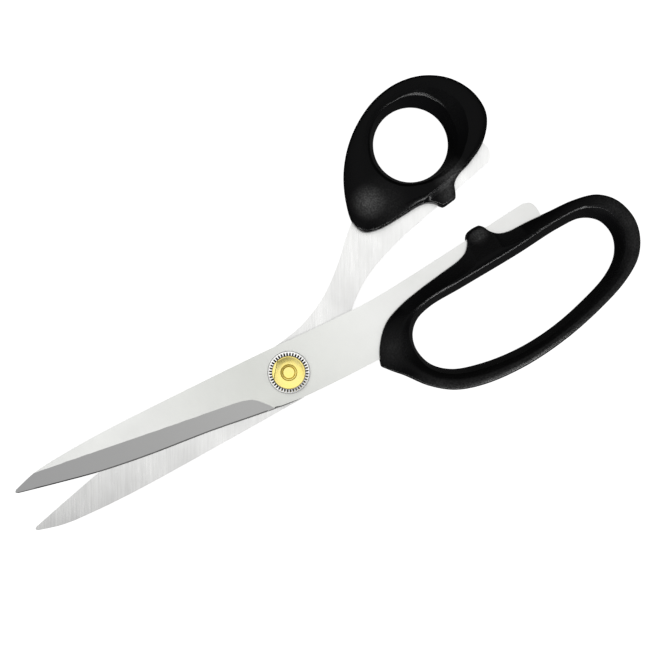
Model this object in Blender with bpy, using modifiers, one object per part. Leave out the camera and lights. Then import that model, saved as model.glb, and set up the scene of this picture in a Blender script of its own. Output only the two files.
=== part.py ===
"""Left-handed fabric shears, 209 mm long, built as separate pieces on one adjustable pivot.

The origin lies on the pivot's axis, at the height of the surface that the shears lie on. +X points
from the pivot to the blade tips, +Y to the finger bow's side, and +Z up, from the lower blade to the
upper one. Outlines and heights are in millimetres, seen from above, and MM turns them into metres.
The shears are modelled a little open: closing turns the lower half by -8 degrees about +Z.
"""

import math

import bmesh
import bpy
from mathutils import Matrix, Vector

MM = 0.001

# Heights above the surface that the shears lie on.
STEEL = 2.6
LOWER_UNDERSIDE = 2.3
LOWER_TOP = LOWER_UNDERSIDE + STEEL
UPPER_UNDERSIDE = LOWER_TOP + 0.3
UPPER_TOP = UPPER_UNDERSIDE + STEEL
MIDPLANE = (LOWER_TOP + UPPER_UNDERSIDE) / 2
HANDLE_HEIGHT = 11.5
GAP = 0.3  # between a moulding and the steel in it, and between stacked pieces

# The lower blade is the upper one turned over, and the shears stand this far open at rest.
LOWER_BLADE_TURN = math.radians(-0.5)

# The upper blade, from its heel over the cutting edge to the tip and back along the spine.
EDGE = [(5, 8.5), (12, 7.6), (30, 4.8), (50, 2.4), (66, -0.2), (80, -3.4), (91.8, -6.3)]
TIP = [(91.8, -6.3), (92.4, -6.9), (91.8, -7.6)]
SPINE = [(91.8, -7.6), (84, -9.6), (75, -10.4), (60, -10.8), (35, -10.3), (10, -9.5), (0, -9.1)]

# The ground face: it starts on this line of the flat face and runs down to a land along the edge. The
# wheel leaves it at the heel on this curve, which is tangent to the start line.
GRIND_START = [(-2, 3.9), (83.5, -9.4)]
GRIND_LAND = 0.8
HEEL = [(19.3, 0.59), (16.6, 1.2), (14.1, 2.14), (12.6, 3.3), (11.4, 4.6), (10.2, 6.1), (9.1, 7.6)]

# The cutting edge's steep facet, at places along X: how wide it is, and how high above the underside
# its upper border lies. It starts behind the heel, where the steel still has its full thickness.
FACET = [(4.5, 0.0, STEEL), (8.6, 0.35, STEEL), (11.5, 0.4, GRIND_LAND), (96, 0.4, GRIND_LAND)]
EDGE_LAND = 0.1

# The bolt: a head under the lower blade, a neck with two flats that keys into it, a shoulder that the
# upper blade turns on, and a stud for the dial and the nut.
PIVOT_HOLE = 3.08
BOLT_HEAD = 5.5
BOLT_SHOULDER = 3.0
BOLT_STUD = 2.0
STUD_HOLE = 2.08
NECK_HALF_WIDTH = 2.3
NECK_BASE = LOWER_UNDERSIDE - GAP
SHOULDER_TOP = UPPER_TOP + 0.1
STUD_TOP = 10.25

# The glide washer lies in a recess of the lower blade and stands a little proud of it.
RECESS_RADIUS = 6.8
RECESS_FLOOR = LOWER_TOP - 0.65
GLIDE_RADII = (BOLT_SHOULDER + 0.25, 6.4)
GLIDE_HEIGHTS = (RECESS_FLOOR + GAP, UPPER_UNDERSIDE - 0.2)

# The wave washer, between the upper blade and the dial's web.
SPRING_RADII = (3.3, 4.9)
SPRING_HEIGHTS = (UPPER_TOP + 0.55, UPPER_TOP + 0.85)
SPRING_WAVE = 0.12
SPRING_WAVES = 3

# The dial: a cup with a toothed rim, on a web that the nut clamps.
DIAL_RADIUS = 6.6
DIAL_SKIRT = 5.5
DIAL_CUP = 5.3
DIAL_FOOT = UPPER_TOP + GAP
WEB_HEIGHTS = (UPPER_TOP + 1.2, UPPER_TOP + 1.65)
DIAL_RIM = UPPER_TOP + 2.5
RIM_LAND = 0.3
RIM_SLOPE = 0.5
DIAL_GROOVES = 40
GROOVE_LENGTH = 3.2
GROOVE_WIDTH = 0.42
GROOVE_LEAN = math.radians(24)

# The nut: a dished disc with one flat cut down across its rim.
NUT_RADIUS = 5.1
NUT_HEIGHTS = (WEB_HEIGHTS[1] + GAP, UPPER_TOP + 3.1)
NUT_CHAMFER = 0.25
NUT_DISH = 0.3
NUT_WELL_RADIUS = 2.6
NUT_WELL_DEPTH = 0.9
NUT_FLAT = 4.05
NUT_FLAT_DEPTH = 0.45
NUT_FLAT_DIRECTION = math.radians(-39)

# Each tang is pinned by two plugs of the moulding that run through holes in the steel.
PLUG_HOLE = 1.6
FINGER_PLUGS = [(-55, -3.1), (-83, -4.6)]
THUMB_PLUGS = [(-53, -28.8), (-68.3, -27.3)]

STEEL_GREY = (0.80, 0.81, 0.80)
BLACK = (0.012, 0.012, 0.013)
GOLD = (0.86, 0.66, 0.20)
NYLON = (0.85, 0.84, 0.80)


def collection(name):
    made = bpy.data.collections.new(name)
    bpy.context.scene.collection.children.link(made)
    return made


def material(name, colour, roughness, metallic):
    made = bpy.data.materials.new(name)
    made.use_nodes = True
    shader = made.node_tree.nodes["Principled BSDF"]
    shader.inputs["Base Color"].default_value = (*colour, 1)
    shader.inputs["Roughness"].default_value = roughness
    shader.inputs["Metallic"].default_value = metallic
    return made


def smooth(points, steps=6):
    """A curve through the points: a Catmull-Rom spline whose knots follow the points' spacing."""
    if len(points) < 3:
        return list(points)
    p = [Vector(q) for q in points]
    p = [2 * p[0] - p[1]] + p + [2 * p[-1] - p[-2]]
    made = []
    for a, b, c, d in zip(p, p[1:], p[2:], p[3:]):
        ka, kb, kc = [math.sqrt((v - u).length) for u, v in ((a, b), (b, c), (c, d))]
        start = kb * ((b - a) / ka - (c - a) / (ka + kb) + (c - b) / kb)
        end = kb * ((c - b) / kb - (d - b) / (kb + kc) + (d - c) / kc)
        for i in range(steps):
            t = i / steps
            made.append(
                (2 * t**3 - 3 * t**2 + 1) * b
                + (t**3 - 2 * t**2 + t) * start
                + (3 * t**2 - 2 * t**3) * c
                + (t**3 - t**2) * end
            )
    return [tuple(q) for q in made] + [tuple(points[-1])]


def outline(*stretches, steps=6):
    """A closed loop from smooth stretches. Each starts where the one before it ends, at a corner."""
    loop = []
    for stretch in stretches:
        loop += smooth(stretch, steps)[:-1]
    return loop


def round_loop(points, steps=6):
    """A closed loop that is smooth all the way round."""
    n = len(points)
    wrapped = smooth([points[-1], *points, points[0], points[1]], steps)
    return wrapped[steps : steps * (n + 1)]


def circle(radius, centre=(0, 0), segments=48):
    turn = 2 * math.pi / segments
    x, y = centre
    return [(x + radius * math.cos(i * turn), y + radius * math.sin(i * turn)) for i in range(segments)]


def double_flat(radius, half_width, arc_segments=16):
    """A circle with two flats parallel to X, as a keyed neck has."""
    reach = math.asin(half_width / radius)
    angles = [-reach + 2 * reach * i / arc_segments for i in range(arc_segments + 1)]
    right = [(radius * math.cos(a), radius * math.sin(a)) for a in angles]
    return right + [(-x, -y) for x, y in right]


def turned_over(points):
    """The upper blade's outline as the lower blade has it."""
    c, s = math.cos(LOWER_BLADE_TURN), math.sin(LOWER_BLADE_TURN)
    return [(c * x + s * y, s * x - c * y) for x, y in points]


def place(mesh_or_curve, name, group, paint=None):
    made = bpy.data.objects.new(name, mesh_or_curve)
    group.objects.link(made)
    if paint:
        made.data.materials.append(paint)
    return made


def as_cutter(obj):
    obj.hide_render = True
    obj.display_type = "WIRE"
    return obj


def slab(name, group, paint, loops, low, high, rounding=0.0, grow=0.0):
    """A flat outline with its holes, from one height to another, with rounded edges if asked."""
    curve = bpy.data.curves.new(name, "CURVE")
    curve.dimensions = "2D"
    curve.fill_mode = "BOTH"
    curve.extrude = ((high - low) / 2 - rounding) * MM
    curve.bevel_depth = rounding * MM
    curve.bevel_resolution = 1
    curve.offset = (grow - rounding) * MM
    for loop in loops:
        spline = curve.splines.new("POLY")
        spline.points.add(len(loop) - 1)
        spline.use_cyclic_u = True
        for point, (x, y) in zip(spline.points, loop):
            point.co = (x * MM, y * MM, 0, 1)
    flat = place(curve, name, group)
    flat.location.z = (low + high) / 2 * MM
    bpy.context.view_layer.update()
    graph = bpy.context.evaluated_depsgraph_get()
    mesh = bpy.data.meshes.new_from_object(flat.evaluated_get(graph), depsgraph=graph)
    world = flat.matrix_world.copy()
    bpy.data.objects.remove(flat)
    shape = bmesh.new()
    shape.from_mesh(mesh)
    bmesh.ops.remove_doubles(shape, verts=shape.verts, dist=0.001 * MM)
    bmesh.ops.recalc_face_normals(shape, faces=shape.faces)
    shape.to_mesh(mesh)
    shape.free()
    solid = place(mesh, name, group, paint)
    solid.matrix_world = world
    return solid


def turned(name, group, paint, profile, segments=48):
    """A profile of (radius, height) points, from the top at the outside to the bottom, turned about Z."""
    mesh = bpy.data.meshes.new(name)
    points = [(r * MM, 0, z * MM) for r, z in profile]
    closed = profile[0][0] > 0
    n = len(points)
    mesh.from_pydata(points, [(i, (i + 1) % n) for i in range(n if closed else n - 1)], [])
    made = place(mesh, name, group, paint)
    screw = made.modifiers.new("turn", "SCREW")
    screw.angle = 2 * math.pi
    screw.steps = segments
    screw.render_steps = segments
    screw.use_merge_vertices = True
    screw.merge_threshold = 0.005 * MM
    screw.use_smooth_shade = True
    return made


def boxed(name, group, size, centre, turn=0.0):
    """A cutter block of the given size, centred at a point and turned about Z."""
    bpy.ops.mesh.primitive_cube_add(size=1)
    made = bpy.context.object
    made.name = name
    for owner in list(made.users_collection):
        owner.objects.unlink(made)
    group.objects.link(made)
    place_at = Matrix.Translation(Vector(centre) * MM) @ Matrix.Rotation(turn, 4, "Z")
    made.data.transform(place_at @ Matrix.Diagonal((*[s * MM for s in size], 1)))
    return as_cutter(made)


def cut(obj, cutter, operation="DIFFERENCE"):
    modifier = obj.modifiers.new(operation.lower(), "BOOLEAN")
    modifier.operation = operation
    modifier.solver = "EXACT"
    modifier.object = cutter
    return obj


def line_y(line, x):
    (x0, y0), (x1, y1) = line
    return y0 + (y1 - y0) * (x - x0) / (x1 - x0)


def curve_y(points, x):
    """The height of a sampled curve at x, by straight lines between its points."""
    points = sorted(points)
    for low, high in zip(points, points[1:]):
        if x <= high[0]:
            break
    return line_y((low, high), x)


def ruled_cutter(name, group, stations, section):
    """A closed loft of the sections at the stations along X. Each section is a list of (y, z)."""
    shape = bmesh.new()
    rings = [[shape.verts.new(Vector((x, *q)) * MM) for q in section(x)] for x in stations]
    for ring, following in zip(rings, rings[1:]):
        for i, vert in enumerate(ring):
            j = (i + 1) % len(ring)
            shape.faces.new((vert, ring[j], following[j], following[i]))
    shape.faces.new(rings[0])
    shape.faces.new(rings[-1])
    bmesh.ops.recalc_face_normals(shape, faces=shape.faces)
    mesh = bpy.data.meshes.new(name)
    shape.to_mesh(mesh)
    shape.free()
    return as_cutter(place(mesh, name, group))


def edge_at(x):
    """How far out the upper blade's cutting edge lies at x."""
    if x < EDGE[0][0]:
        return line_y(EDGE[:2], x)
    return curve_y(smooth(EDGE), min(x, EDGE[-1][0]))


def facet_at(x):
    """The width and the height of the steep facet at x."""
    widths = [(at, width) for at, width, _ in FACET]
    heights = [(at, height) for at, _, height in FACET]
    return curve_y(widths, x), curve_y(heights, x)


def above_line(inner, outer, beyond=3.0, sky=UPPER_TOP + 4.0):
    """The section of what lies above the line through two (y, z) points, which it overshoots."""
    inner, outer = Vector(inner), Vector(outer)
    along = (outer - inner).normalized() * beyond
    first, last = inner - along, outer + along
    top = max(sky, first.y + 1, last.y + 1)
    return [first, last, Vector((last.x, top)), Vector((first.x, top))]


def ground_section(x):
    start = (line_y(GRIND_START, x), UPPER_TOP)
    return above_line(start, (edge_at(x) - facet_at(x)[0], UPPER_UNDERSIDE + GRIND_LAND))


def facet_section(x):
    width, height = facet_at(x)
    foot = (edge_at(x), UPPER_UNDERSIDE + EDGE_LAND)
    return above_line((edge_at(x) - width - 0.001, UPPER_UNDERSIDE + height), foot)


def grinding_cutters(name, group):
    """What the wheel takes off the upper blade's flat face, and what honing takes off its edge."""
    stations = [0, 6, 12, 18, 24, 30, 36, 42, 48, 54, 60, 66, 71, 76, 80, 84, 88, 91.8, 96]
    ground = ruled_cutter(name + "_grinding", group, stations, ground_section)
    heel = smooth(HEEL)
    (x0, y0), (x1, y1) = heel[-2:]
    past_edge = 6.0
    run_out = (x1 + (x1 - x0) * past_edge / (y1 - y0), y1 + past_edge)
    far, side = 100, 20
    reach = [(heel[0][0], -side), *heel, run_out, (run_out[0], side), (far, side), (far, -side)]
    within = slab(name + "_reach", group, None, [reach], LOWER_UNDERSIDE - 5, UPPER_TOP + 15)
    within.parent = ground
    cut(ground, as_cutter(within), "INTERSECT")
    honed = [at for at, _, _ in FACET[:-1]] + stations[3:]
    facet = ruled_cutter(name + "_honing", group, honed, facet_section)
    return ground, facet


def upper_steel_loop():
    shank = [(5, 8.5), (-4, 9.1), (-15, 9.5), (-28.5, 9.6)]
    tang_root = [(-28.5, 9.6), (-32.6, 7.4), (-34.8, 3.6), (-39, 0.8), (-46, -0.4)]
    tang_end = [(-90.5, -2.7), (-91.6, -7.5), (-90.6, -11.2), (-88.2, -12.2)]
    tang_top = [(-88.2, -12.2), (-34, -7.9), (-20, -8.1), (-8, -8.6), (0, -9.1)]
    spine, tip, edge = SPINE[::-1], TIP[::-1], EDGE[::-1]
    tang_low = [tang_root[-1], tang_end[0]]
    return outline(spine, tip, edge, shank, tang_root, tang_low, tang_end, tang_top)


def lower_steel_loop():
    edge, tip, spine = turned_over(EDGE), turned_over(TIP), turned_over(SPINE)
    ricasso = [spine[-1], (-8, 7.8), (-15.5, 3.2), (-21, -2.6), (-27, -8.7)]
    shank_inside = [ricasso[-1], (-31, -11.9), (-36, -15.0), (-42, -17.6), (-52, -20.9)]
    tang_low = [shank_inside[-1], (-85.4, -28.6)]
    tang_end = [tang_low[-1], (-86.6, -29.6), (-87.2, -33.4), (-84.8, -36.4)]
    tang_top = [tang_end[-1], (-75.5, -32.4), (-66, -30.3), (-56, -30.8), (-47.5, -34), (-43, -34.6)]
    shank_outside = [tang_top[-1], (-37.8, -31), (-28, -21.6), (-20, -15.5), (-11, -11.3), (-4, -9.7)]
    shank_outside.append(edge[0])
    tang = [tang_low, tang_end, tang_top]
    return outline(edge, tip, spine, ricasso, shank_inside, *tang, shank_outside)


FINGER_BOW = [
    (-30.2, 3.6), (-34, 0.2), (-40, -2.2), (-48, -3.9), (-58, -5.5), (-70, -6.6), (-82, -6.8),
    (-94, -6.3), (-103, -5.8), (-109.6, -4.1), (-114.3, 0.3), (-116.5, 7.2), (-115.6, 13.4),
    (-112, 19.2), (-105, 23.9), (-93, 28.2), (-79, 31.4), (-65, 32.7), (-52, 31.8), (-43, 29.1),
    (-36.2, 24), (-31, 17.6), (-27.2, 13.9), (-25.8, 12), (-27, 8.4),
]
FINGER_HOLE = [
    (-38.3, 12.4), (-39.4, 7.8), (-42.6, 4.4), (-48, 2.6), (-60, 2.0), (-80, 1.0), (-95, -0.2),
    (-102.6, 0.3), (-107.3, 3.8), (-108.7, 9.5), (-106.5, 15), (-101, 19.4), (-90, 23.4),
    (-78, 26.1), (-66, 26.9), (-54, 25.6), (-45, 22.8), (-40, 18.3),
]
FINGER_STOP = [
    [(-60, -4), (-63.5, -6.3), (-66.6, -8.5), (-68.1, -11.2), (-68.9, -12.4), (-70, -12.7)],
    [(-70, -12.7), (-73.2, -12.8)],
    [(-73.2, -12.8), (-74.2, -11.9), (-75.4, -9.5), (-78.4, -7.2), (-82, -4)],
    [(-82, -4), (-60, -4)],
]
THUMB_BOW = [
    (-39, -31.6), (-40.2, -38.2), (-43.6, -46.2), (-48.7, -53), (-55.2, -58.4), (-63, -62.1),
    (-71.5, -63.3), (-79.8, -61.5), (-86.8, -56.6), (-91, -49.3), (-91.3, -41.6), (-86.6, -34.8),
    (-79, -30.6), (-71, -28.2), (-62.5, -26.6), (-54, -26.1), (-45, -25.9), (-40.6, -27.4),
]
THUMB_HOLE_CENTRE = (-66.5, -44.7)
THUMB_HOLE_RADIUS = 11.6

# The thumb hole is dished on top: its wall spreads into an oval lip that lies further back.
DISH_LIP_CENTRE = (-69.0, -45.2)
DISH_LIP_RADII = (16.4, 13.6)
DISH_DEPTH = 4.2
THUMB_STOP = [
    [(-77, -31.5), (-74.4, -28.7), (-72.4, -26.6), (-71.6, -24), (-70.9, -23.1)],
    [(-70.9, -23.1), (-66.2, -22.4)],
    [(-66.2, -22.4), (-65.2, -23.2), (-64, -25), (-61.8, -26.3), (-58, -29)],
    [(-58, -29), (-77, -31.5)],
]
BOW_ROUNDING = 2.6
STOP_ROUNDING = 0.6
STOP_HEIGHTS = (1.4, HANDLE_HEIGHT - 1.4)


def dish_cutter(name, group, segments=48):
    """A loft from the thumb hole's circle up to the oval lip, and on past the top face."""
    shape = bmesh.new()
    slopes = [(-0.15, DISH_DEPTH + 0.6), (0, DISH_DEPTH), (0.55, DISH_DEPTH * 0.3), (1, 0), (1.2, -0.8)]
    rings = []
    for share, depth in slopes:
        ring = []
        for i in range(segments):
            angle = 2 * math.pi * i / segments
            hole_x = THUMB_HOLE_CENTRE[0] + THUMB_HOLE_RADIUS * math.cos(angle)
            hole_y = THUMB_HOLE_CENTRE[1] + THUMB_HOLE_RADIUS * math.sin(angle)
            lip_x = DISH_LIP_CENTRE[0] + DISH_LIP_RADII[0] * math.cos(angle)
            lip_y = DISH_LIP_CENTRE[1] + DISH_LIP_RADII[1] * math.sin(angle)
            x = hole_x + share * (lip_x - hole_x)
            y = hole_y + share * (lip_y - hole_y)
            ring.append(shape.verts.new(Vector((x, y, HANDLE_HEIGHT - depth)) * MM))
        rings.append(ring)
    for ring, following in zip(rings, rings[1:]):
        for i, vert in enumerate(ring):
            j = (i + 1) % segments
            shape.faces.new((vert, ring[j], following[j], following[i]))
    shape.faces.new(rings[0])
    shape.faces.new(rings[-1])
    bmesh.ops.recalc_face_normals(shape, faces=shape.faces)
    mesh = bpy.data.meshes.new(name)
    shape.to_mesh(mesh)
    shape.free()
    return as_cutter(place(mesh, name, group))


def handle(name, groups, paint, bow, hole, stop, steel_loop, steel_low, plugs):
    """A moulded bow with its stop tab, and the slot that its tang fills with the plugs left in it."""
    parts, cutters = groups
    made = slab(name, parts, paint, [round_loop(bow, 4), hole], 0, HANDLE_HEIGHT, BOW_ROUNDING)
    tab_loop = outline(*stop, steps=3)
    tab = as_cutter(slab(name + "_tab", cutters, None, [tab_loop], *STOP_HEIGHTS, STOP_ROUNDING))
    cut(made, tab, "UNION")
    slot_heights = (steel_low - GAP, steel_low + STEEL + GAP)
    slot = slab(name + "_slot", cutters, None, [steel_loop], *slot_heights, grow=GAP)
    as_cutter(slot)
    for i, centre in enumerate(plugs):
        loop = circle(PLUG_HOLE - GAP, centre, 24)
        plug = slab(f"{name}_plug_{i}", cutters, None, [loop], slot_heights[0] - 1, slot_heights[1] + 1)
        cut(slot, as_cutter(plug))
    return cut(made, slot)


def build_blades(groups, paint):
    parts, cutters = groups
    upper = slab("upper_blade", parts, paint, [upper_steel_loop()], UPPER_UNDERSIDE, UPPER_TOP)
    lower = slab("lower_blade", parts, paint, [lower_steel_loop()], LOWER_UNDERSIDE, LOWER_TOP)

    for cutter in grinding_cutters("upper", cutters):
        cut(upper, cutter)
    over = Matrix.Translation((0, 0, 2 * MIDPLANE * MM)) @ Matrix.Rotation(math.pi, 4, "X")
    for cutter in grinding_cutters("lower", cutters):
        cutter.matrix_world = Matrix.Rotation(LOWER_BLADE_TURN, 4, "Z") @ over
        cut(lower, cutter)

    through = (LOWER_UNDERSIDE - 1, UPPER_TOP + 1)
    hole = slab("upper_pivot_hole", cutters, None, [circle(PIVOT_HOLE)], MIDPLANE, through[1])
    cut(upper, as_cutter(hole))
    neck = double_flat(BOLT_SHOULDER + GAP / 2, NECK_HALF_WIDTH + GAP / 2)
    hole = slab("lower_pivot_hole", cutters, None, [neck], through[0], MIDPLANE)
    cut(lower, as_cutter(hole))
    recess = slab("washer_recess", cutters, None, [circle(RECESS_RADIUS)], RECESS_FLOOR, MIDPLANE)
    cut(lower, as_cutter(recess))

    for blade, plugs in ((upper, FINGER_PLUGS), (lower, THUMB_PLUGS)):
        for i, centre in enumerate(plugs):
            loop = circle(PLUG_HOLE, centre, 24)
            hole = slab(f"{blade.name}_tang_hole_{i}", cutters, None, [loop], *through)
            cut(blade, as_cutter(hole))


def pivot_bolt(groups, steel):
    parts, cutters = groups
    edge = 0.4
    profile = [
        (0, STUD_TOP), (BOLT_STUD - 0.3, STUD_TOP), (BOLT_STUD, STUD_TOP - 0.3),
        (BOLT_STUD, SHOULDER_TOP), (BOLT_SHOULDER, SHOULDER_TOP), (BOLT_SHOULDER, NECK_BASE),
        (BOLT_HEAD - edge, NECK_BASE), (BOLT_HEAD, NECK_BASE - edge), (BOLT_HEAD, edge),
        (BOLT_HEAD - edge, 0), (0, 0),
    ]
    bolt = turned("pivot_bolt", parts, steel, profile)
    height = RECESS_FLOOR - NECK_BASE
    depth = 4.0
    for i, side in enumerate((-1, 1)):
        centre = (0, side * (NECK_HALF_WIDTH + depth / 2), NECK_BASE + height / 2)
        cut(bolt, boxed(f"neck_flat_{i}", cutters, (8, depth, height), centre))


def washer(name, group, paint, radii, heights, segments=48):
    (inner, outer), (low, high) = radii, heights
    return turned(name, group, paint, [(outer, high), (outer, low), (inner, low), (inner, high)], segments)


def spring_washer(groups, steel):
    """A flat ring, bent up and down as it goes round."""
    spring = washer("spring_washer", groups[0], steel, SPRING_RADII, SPRING_HEIGHTS, 72)
    graph = bpy.context.evaluated_depsgraph_get()
    waved = bpy.data.meshes.new_from_object(spring.evaluated_get(graph), depsgraph=graph)
    for vertex in waved.vertices:
        angle = math.atan2(vertex.co.y, vertex.co.x)
        vertex.co.z += SPRING_WAVE * MM * math.cos(SPRING_WAVES * angle)
    spring.modifiers.clear()
    spring.data = waved


def tension_dial(groups, steel):
    parts, cutters = groups
    web_low, web_top = WEB_HEIGHTS
    profile = [
        (DIAL_CUP, DIAL_RIM), (DIAL_CUP + RIM_LAND, DIAL_RIM), (DIAL_RADIUS, DIAL_RIM - RIM_SLOPE),
        (DIAL_RADIUS, DIAL_FOOT), (DIAL_SKIRT, DIAL_FOOT), (DIAL_SKIRT, web_low),
        (STUD_HOLE, web_low), (STUD_HOLE, web_top), (DIAL_CUP, web_top),
    ]
    dial = turned("tension_dial", parts, steel, profile, segments=2 * DIAL_GROOVES)
    grooves = bmesh.new()
    size = Matrix.Diagonal((GROOVE_LENGTH * MM, GROOVE_WIDTH * MM, GROOVE_WIDTH * MM, 1))
    on_edge = Matrix.Rotation(GROOVE_LEAN, 4, "Y") @ Matrix.Rotation(math.radians(45), 4, "X")
    slope = Matrix.Translation(Vector((DIAL_RADIUS - 0.3, 0, DIAL_RIM - RIM_LAND)) * MM)
    for i in range(DIAL_GROOVES):
        turn = Matrix.Rotation(2 * math.pi * i / DIAL_GROOVES, 4, "Z")
        bmesh.ops.create_cube(grooves, size=1, matrix=turn @ slope @ on_edge @ size)
    mesh = bpy.data.meshes.new("dial_grooves")
    grooves.to_mesh(mesh)
    grooves.free()
    cut(dial, as_cutter(place(mesh, "dial_grooves", cutters)))


def pivot_nut(groups, gold):
    parts, cutters = groups
    low, top = NUT_HEIGHTS
    well = top - NUT_WELL_DEPTH
    profile = [
        (NUT_RADIUS - NUT_CHAMFER, top), (NUT_RADIUS, top - NUT_CHAMFER), (NUT_RADIUS, low),
        (STUD_HOLE, low), (STUD_HOLE, well), (NUT_WELL_RADIUS, well), (NUT_WELL_RADIUS, top - NUT_DISH),
    ]
    nut = turned("pivot_nut", parts, gold, profile)
    depth = 4.0
    away = NUT_FLAT + depth / 2
    centre = (away * math.cos(NUT_FLAT_DIRECTION), away * math.sin(NUT_FLAT_DIRECTION), top)
    size = (depth, 2 * NUT_RADIUS, 2 * NUT_FLAT_DEPTH)
    cut(nut, boxed("nut_flat", cutters, size, centre, NUT_FLAT_DIRECTION))


def build_pivot(groups, steel, gold, nylon):
    """The stack on the pivot's axis, from the bolt's head below to the gold nut on top."""
    pivot_bolt(groups, steel)
    washer("glide_washer", groups[0], nylon, GLIDE_RADII, GLIDE_HEIGHTS)
    spring_washer(groups, steel)
    tension_dial(groups, steel)
    pivot_nut(groups, gold)


def shade(obj):
    """Smooth faces with creases kept where they meet at more than 30 degrees."""
    if obj.data.polygons:
        obj.data.shade_smooth()
        obj.data.set_sharp_from_angle(angle=math.radians(30))


def main():
    for obj in list(bpy.data.objects):
        bpy.data.objects.remove(obj)
    groups = collection("Fabric shears"), collection("Cutters")
    steel = material("brushed_steel", STEEL_GREY, 0.3, 1.0)
    black = material("black_moulding", BLACK, 0.45, 0.0)
    gold = material("gold_plate", GOLD, 0.2, 1.0)
    nylon = material("nylon", NYLON, 0.5, 0.0)

    build_blades(groups, steel)
    build_pivot(groups, steel, gold, nylon)
    finger_loops = FINGER_BOW, round_loop(FINGER_HOLE, 4), FINGER_STOP, upper_steel_loop()
    handle("finger_handle", groups, black, *finger_loops, UPPER_UNDERSIDE, FINGER_PLUGS)
    thumb_hole = circle(THUMB_HOLE_RADIUS, THUMB_HOLE_CENTRE, 48)
    thumb_loops = THUMB_BOW, thumb_hole, THUMB_STOP, lower_steel_loop()
    thumb = handle("thumb_handle", groups, black, *thumb_loops, LOWER_UNDERSIDE, THUMB_PLUGS)
    cut(thumb, dish_cutter("thumb_dish", groups[1]))
    for obj in groups[0].objects:
        shade(obj)


main()
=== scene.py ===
import math

import bmesh
import bpy
import numpy as np
from mathutils import Matrix, Vector


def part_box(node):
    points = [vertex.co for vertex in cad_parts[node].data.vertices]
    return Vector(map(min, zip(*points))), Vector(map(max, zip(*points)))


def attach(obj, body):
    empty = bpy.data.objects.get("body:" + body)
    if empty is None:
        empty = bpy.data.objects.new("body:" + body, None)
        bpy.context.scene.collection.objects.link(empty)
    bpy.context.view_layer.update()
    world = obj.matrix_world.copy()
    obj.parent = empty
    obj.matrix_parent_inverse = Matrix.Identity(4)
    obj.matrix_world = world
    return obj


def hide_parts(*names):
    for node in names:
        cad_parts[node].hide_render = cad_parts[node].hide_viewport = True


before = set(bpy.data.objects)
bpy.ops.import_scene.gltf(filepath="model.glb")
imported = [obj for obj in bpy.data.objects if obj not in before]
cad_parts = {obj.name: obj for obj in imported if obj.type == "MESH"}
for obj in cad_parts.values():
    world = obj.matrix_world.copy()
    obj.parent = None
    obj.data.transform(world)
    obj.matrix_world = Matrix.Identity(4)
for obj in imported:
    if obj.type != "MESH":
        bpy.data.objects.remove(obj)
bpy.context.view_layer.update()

MM = 0.001
HANDLE_HEIGHT = (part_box("finger_handle")[1].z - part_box("finger_handle")[0].z) / MM

# ---------------------------------------------------------------- camera and studio

# The photograph's view, straight down: VIEW_WIDTH is how much of the steel's level it takes in.
VIEW_CENTRE = (-0.0167, -0.0077)
VIEW_RIGHT = Vector((-0.88295, 0.46947, 0))
VIEW_UP = Vector((-0.46947, -0.88295, 0))
VIEW_WIDTH = 0.2015
CAMERA_HEIGHT = 0.62
STEEL_HEIGHT = 0.006
SENSOR_WIDTH = 36
CLIP_START, CLIP_END = 0.01, 50

# Each light's place from the centre of the view, its two sides and its power.
KEY = (Vector((0, -0.2, 1.2)), (0.95, 0.95), 2.95)
STRIP = (Vector((0.5, 1.1, 0.55)), (2.0, 0.16), 82.0)

# The world's strength, each as (first value, last value, start, end): by height across the horizon,
# what is kept of it overhead, and from the thumb bow's side to the finger bow's.
HORIZON = (0.05, 0.40, -0.1, 0.1)
OVERHEAD = (1.0, 0.45, 0.82, 0.97)
SIDEWAYS = (0.7, 1.25, -0.6, 0.6)

FLOOR_REACH = 12.0
FLOOR_DROP = 0.0002
FLOOR_GREY = (0.6, 0.6, 0.6)
FLOOR_GLOW = 0.92


def make_camera():
    """Straight above the object, with its lens set to the photograph's scale."""
    camera = bpy.data.objects.new("camera", bpy.data.cameras.new("camera"))
    bpy.context.scene.collection.objects.link(camera)
    camera.data.sensor_width = SENSOR_WIDTH
    camera.data.lens = SENSOR_WIDTH * (CAMERA_HEIGHT - STEEL_HEIGHT) / VIEW_WIDTH
    camera.data.clip_start = CLIP_START
    camera.data.clip_end = CLIP_END
    turn = Matrix((VIEW_RIGHT, VIEW_UP, VIEW_RIGHT.cross(VIEW_UP))).transposed().to_4x4()
    camera.matrix_world = Matrix.Translation((*VIEW_CENTRE, CAMERA_HEIGHT)) @ turn
    bpy.context.scene.camera = camera


def area_light(name, place, sides, power):
    """A rectangular light that faces the centre of the view."""
    light = bpy.data.objects.new(name, bpy.data.lights.new(name, "AREA"))
    bpy.context.scene.collection.objects.link(light)
    light.data.shape = "RECTANGLE"
    light.data.size, light.data.size_y = sides
    light.data.energy = power
    light.location = Vector((*VIEW_CENTRE, 0)) + place
    light.rotation_mode = "QUATERNION"
    light.rotation_quaternion = place.to_track_quat("Z", "Y")
    light.visible_camera = False
    return light


def make_studio(mouldings):
    """A soft box overhead, a strip that lights the mouldings alone, and a pale floor."""
    area_light("key", *KEY)
    strip = area_light("strip", *STRIP)
    strip.light_linking.receiver_collection = mouldings
    make_world()
    make_floor()
    bpy.context.scene.view_settings.view_transform = "Standard"


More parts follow.
